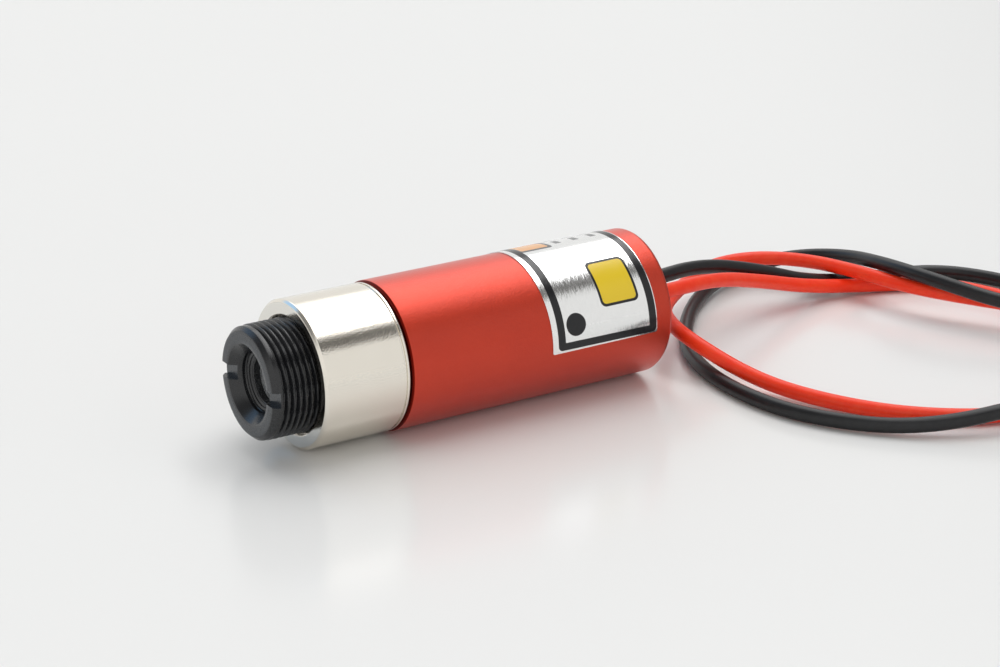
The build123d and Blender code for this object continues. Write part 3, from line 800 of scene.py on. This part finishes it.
brass = plain_metal("turned brass", (0.62, 0.42, 0.16), (0.78, 0.57, 0.25), 0.22, 20.0, 0.003, lathe_lines)
gold = plain_metal("gold plate", (0.8, 0.55, 0.2), (0.92, 0.68, 0.3), 0.16)
cap_metal = plain_metal("drawn cap", (0.6, 0.6, 0.58), (0.74, 0.74, 0.72), 0.2, 16.0, 0.003, lathe_lines)
solder = plain_metal("solder", (0.5, 0.51, 0.52), (0.7, 0.71, 0.72), 0.18, 3.0, 0.02)
crystal = plain_body("crystal", (0.03, 0.03, 0.035), (0.07, 0.07, 0.08), 0.1, 6.0, 0.002, IOR=1.9)
bead = plain_body("glass bead", (0.03, 0.06, 0.05), (0.06, 0.12, 0.1), 0.12, 5.0, 0.004, IOR=1.55)
moulding = plain_body("chip moulding", (0.015, 0.015, 0.016), (0.04, 0.04, 0.042), 0.55, 16.0, 0.015)
mask = plain_body("solder mask", (0.006, 0.09, 0.025), (0.012, 0.15, 0.045), 0.25, 3.0, 0.01, IOR=1.55)
film = plain_body("sleeve film", (0.014, 0.014, 0.015), (0.035, 0.035, 0.036), 0.4, 4.0, 0.01)


def capped_body(name, dark, light, from_middle):
    """Ceramic body with tinned ends, which lie beyond 0.6 mm from its middle; from_middle
    works out that distance from the place signals."""
    part = Finish(name, IOR=1.6)
    grain = part.noise(10.0, 3.0)
    ends = from_middle(part).step(0.58, 0.62)
    part.set(Base_Color=ends.mix(grain.mix(dark, light), (0.68, 0.68, 0.68)), Metallic=ends)
    part.set(Roughness=0.3 + 0.2 * grain)
    return part.bump(grain, 0.008, 0.4).material


def capacitor_reach(part):
    """The front capacitor lies along x about x = 2.1, and the two at the rear lie along y,
    about y = 2.2 and y = -2.2."""
    rear = part.x.step(5.0, 5.1)
    return abs(part.x - 2.1) * (1.0 - rear) + abs(abs(part.y) - 2.2) * rear


def resistor_reach(part):
    """The resistors lie along x, about x = 2.1 and x = 7.3."""
    return abs(abs(part.x - 4.7) - 2.6)


capacitor_body = capped_body("capacitor ceramic", (0.3, 0.2, 0.11), (0.42, 0.29, 0.17), capacitor_reach)
resistor_body = capped_body("resistor ceramic", (0.02, 0.02, 0.022), (0.05, 0.05, 0.052), resistor_reach)
tantalum_body = plain_body("tantalum moulding", (0.6, 0.3, 0.03), (0.76, 0.42, 0.06), 0.4, 9.0, 0.012)
window_glass = plain_body("window glass", (0.9, 0.94, 0.96), (0.95, 0.97, 0.98), 0.02, 4.0, 0.001,
                          IOR=1.5, Transmission_Weight=0.95)

finish_nodes(black_coat, "lens_ring")
finish_nodes(brass, "diode_clamp_ring")
finish_nodes(gold, "diode_stem", "diode_leads")
finish_nodes(cap_metal, "diode_cap")
finish_nodes(crystal, "laser_chip", "monitor_chip")
finish_nodes(bead, "lead_seals")
finish_nodes(window_glass, "diode_window")
finish_nodes(mask, "driver_board")
finish_nodes(moulding, "driver_chip", "transistor")
finish_nodes(tin_plate, "component_legs", "inner_strands")
finish_nodes(solder, "solder_joints")
finish_nodes(capacitor_body, "capacitors")
finish_nodes(resistor_body, "resistors")
finish_nodes(tantalum_body, "tantalum_capacitor")
finish_nodes(film, "board_sleeve")
finish_nodes(black_plastic.material, "rear_plug")

# Table: a pale glossy board that mirrors the module faintly. It is only a setting.
table_size = 3000.0
table_tone = (0.85, 0.846, 0.833)
table_side = np.linspace(-table_size, table_size, 3)
table_grid = np.stack(np.meshgrid(table_side, table_side, [0.0], indexing="ij"), axis=-1)[:, :, 0, :]
table_mesh = grid_mesh("table", table_grid[::-1])
table_top = Finish("table top", IOR=1.4, Roughness=0.2, Base_Color=table_tone)
table_top.bump(table_top.noise(0.4, 3.0), 0.01, 0.15)
table = shown_object("table", table_mesh, table_top.material)

# Light: a studio with pale walls and a dim ceiling, which the polished head mirrors as its
# dark band. A broad softbox hangs above and behind the module, brightest in its middle. A
# pale screen stands at the front left, and a small cool window behind at the left.
world = bpy.data.worlds.new("studio")
bpy.context.scene.world = world
world.use_nodes = True
way = Signal(world.node_tree, None).node("ShaderNodeTexCoord", output=0)


def toward(*axis):
    """How far a direction in the studio leans towards an axis, from -1 to 1."""
    unit = tuple(np.array(axis) / np.linalg.norm(axis))
    return way.node("ShaderNodeVectorMath", {"operation": "DOT_PRODUCT"}, {0: way, 1: unit}, 1)


along = toward(1.0, 0.0, 0.0)
side = toward(0.0, 1.0, 0.0)
height = toward(0.0, 0.0, 1.0)

# The front wall and the softbox stand at a slant past slant_start, so the edges of their
# reflections climb the module towards its rear.
slant_start = 0.47
slant_rate = 3.0
slant_limit = 0.45
slant = side - ((along - slant_start).most(0.0) * slant_rate).least(slant_limit)
ceiling = along.step(-0.1, 0.25).mix((0.25, 0.25, 0.247), (0.17, 0.166, 0.16))
front_wall = (height * -1.0 - slant).step(-0.03, 0.03)
low_walls = 1.0 - height.step(0.3, 0.45)
room = front_wall.most(low_walls).mix(ceiling, (0.88, 0.88, 0.87))
rear_wall = (side - height).step(-0.1, 0.1)
room = rear_wall.mix(room, (0.92, 0.92, 0.91))
dim_right_wall = along.step(0.58, 0.8) * 0.85
room = dim_right_wall.mix(room, (0.3, 0.3, 0.3))
screen = (1.0 - along.step(-0.45, -0.1)) * (1.0 - side.step(-0.3, 0.1)) * height.step(0.02, 0.15)
room = screen.mix(room, (0.94, 0.94, 0.93))
window = toward(-0.36, 0.77, 0.53).step(0.95, 0.985)
room = window.mix(room, (0.5, 0.78, 1.15))

softbox_glow = 2.03
softbox_middle_glow = 4.9
across = slant + height * 0.3
softbox = across.step(-0.24, 0.1) * height.step(0.5, 0.62)
softbox = softbox * along.step(-0.2, 0.0) * (1.0 - along.step(0.56, 0.64))
middle = across.step(-0.13, 0.07) * (1.0 - across.step(0.5, 0.7))
middle = middle * (1.0 - abs(along - 0.5).step(0.06, 0.12))
glow = middle.mix((softbox_glow,) * 3, (softbox_middle_glow,) * 3)
background = world.node_tree.nodes["Background"]
plug(world.node_tree, background.inputs["Color"], softbox.mix(room, glow))
plug(world.node_tree, background.inputs["Strength"], 1.0)
